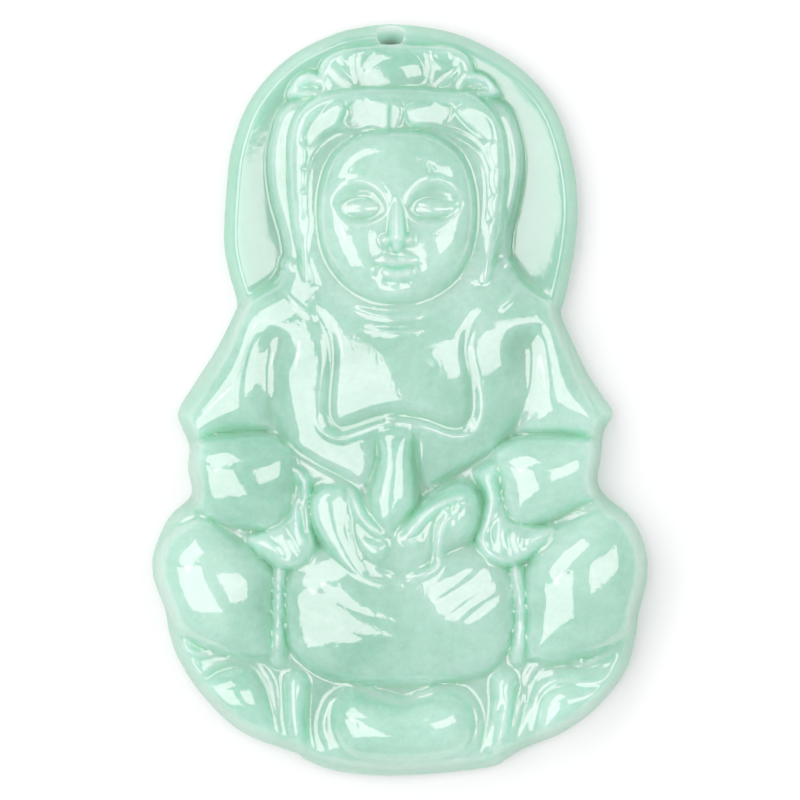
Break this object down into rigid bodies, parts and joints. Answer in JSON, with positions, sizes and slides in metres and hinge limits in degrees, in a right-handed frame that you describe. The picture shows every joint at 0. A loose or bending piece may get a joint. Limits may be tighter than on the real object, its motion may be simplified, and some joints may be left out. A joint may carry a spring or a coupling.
{
  "type": "jade guanyin pendant",
  "caption": "Carved pale green jade pendant of a seated bodhisattva holding a vase before a round halo, drilled at the top for a cord.",
  "frame": {"origin": "middle of the flat back, the lowest point as the pendant lies face up", "axes": "+Y from foot to head of the figure, +X to the right as seen from the front, +Z out of the carved front"},
  "size_m": [0.0369, 0.056, 0.0079],
  "materials": {
    "jade": "polished"
  },
  "bodies": {
    "root": {"carved_pendant": "jade"}
  },
  "joints": []
}
